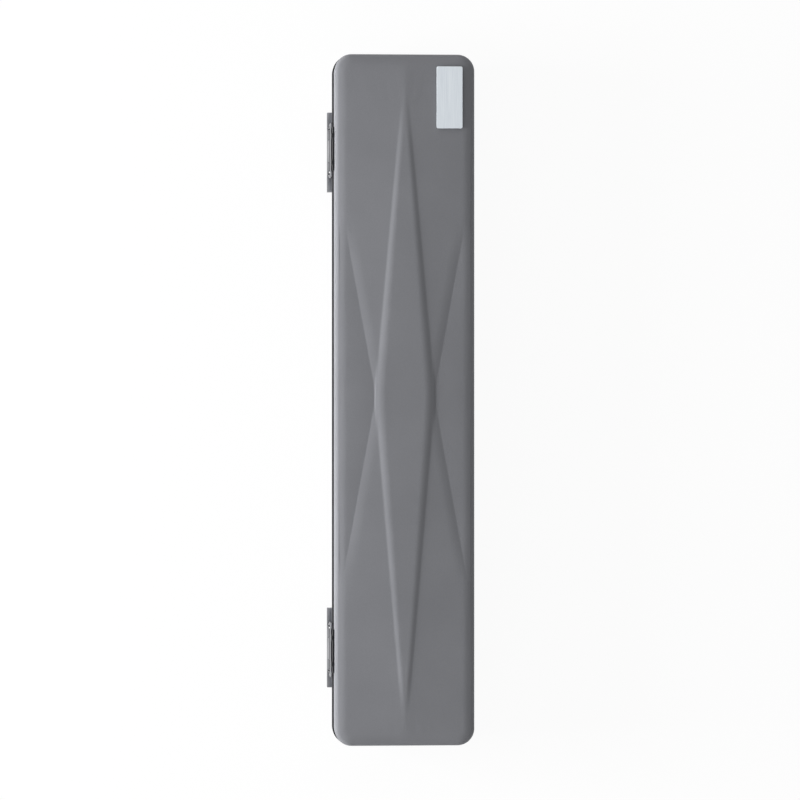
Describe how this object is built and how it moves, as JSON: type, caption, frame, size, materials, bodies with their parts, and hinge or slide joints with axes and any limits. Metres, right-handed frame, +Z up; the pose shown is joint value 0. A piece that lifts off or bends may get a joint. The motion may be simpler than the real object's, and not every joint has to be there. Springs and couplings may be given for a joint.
{
  "type": "flute case",
  "caption": "Long hard case for a small woodwind: a moulded lid with a raised lozenge on a channelled, lined base, with rear hinges and front draw latches.",
  "frame": {"origin": "centre of the base's flat underside", "axes": "+X along the case, +Y across it towards the hinges, +Z up through the lid; the latches face -Y"},
  "size_m": [0.415, 0.0879, 0.0538],
  "materials": {
    "moulded_plastic": "satin grey, finely grained",
    "dark_trim": "satin, near black",
    "plush": "short dark pile",
    "nickel": "nickel plated",
    "plate_metal": "brushed, bare",
    "adhesive": "matte"
  },
  "bodies": {
    "base": {"base_shell": "moulded_plastic", "base_rim": "dark_trim", "base_insert": "plush", "hinge_left_base_leaf": "nickel", "hinge_left_pin": "nickel", "hinge_left_base_rivet_1": "nickel", "hinge_left_base_rivet_2": "nickel", "latch_left_bracket": "nickel", "latch_left_pin": "nickel", "latch_left_bracket_rivet_1": "nickel", "latch_left_bracket_rivet_2": "nickel", "hinge_right_base_leaf": "nickel", "hinge_right_pin": "nickel", "hinge_right_base_rivet_1": "nickel", "hinge_right_base_rivet_2": "nickel", "latch_right_bracket": "nickel", "latch_right_pin": "nickel", "latch_right_bracket_rivet_1": "nickel", "latch_right_bracket_rivet_2": "nickel"},
    "lid": {"lid_shell": "moulded_plastic", "lid_rim": "dark_trim", "lid_lining": "plush", "lid_pad": "plush", "nameplate": "plate_metal", "nameplate_adhesive": "adhesive", "hinge_left_lid_leaf": "nickel", "hinge_left_lid_rivet_1": "nickel", "hinge_left_lid_rivet_2": "nickel", "latch_left_keeper": "nickel", "latch_left_keeper_rivet_1": "nickel", "latch_left_keeper_rivet_2": "nickel", "hinge_right_lid_leaf": "nickel", "hinge_right_lid_rivet_1": "nickel", "hinge_right_lid_rivet_2": "nickel", "latch_right_keeper": "nickel", "latch_right_keeper_rivet_1": "nickel", "latch_right_keeper_rivet_2": "nickel"},
    "latch_left_lever": {"latch_left_lever": "nickel"},
    "latch_left_bail": {"latch_left_bail": "nickel"},
    "latch_right_lever": {"latch_right_lever": "nickel"},
    "latch_right_bail": {"latch_right_bail": "nickel"}
  },
  "joints": [
    {"name": "lid_hinge", "type": "hinge", "parent": "base", "child": "lid", "pos_m": [0, 0.0409, 0.027], "axis": [-1, 0, 0], "range_deg": [0, 105]},
    {"name": "latch_left_lever_turn", "type": "hinge", "parent": "base", "child": "latch_left_lever", "pos_m": [-0.1505, -0.04365, 0.0206], "axis": [-1, 0, 0], "range_deg": [0, 90]},
    {"name": "latch_left_bail_turn", "type": "hinge", "parent": "latch_left_lever", "child": "latch_left_bail", "pos_m": [-0.1505, -0.04365, 0.0166], "axis": [1, 0, 0], "range_deg": [0, 132]},
    {"name": "latch_right_lever_turn", "type": "hinge", "parent": "base", "child": "latch_right_lever", "pos_m": [0.1505, -0.04365, 0.0206], "axis": [-1, 0, 0], "range_deg": [0, 90]},
    {"name": "latch_right_bail_turn", "type": "hinge", "parent": "latch_right_lever", "child": "latch_right_bail", "pos_m": [0.1505, -0.04365, 0.0166], "axis": [1, 0, 0], "range_deg": [0, 132]}
  ],
  "couplings": [
    {"joint": "latch_left_bail_turn", "follows": "latch_left_lever_turn", "ratio": 1},
    {"joint": "latch_right_bail_turn", "follows": "latch_right_lever_turn", "ratio": 1}
  ]
}
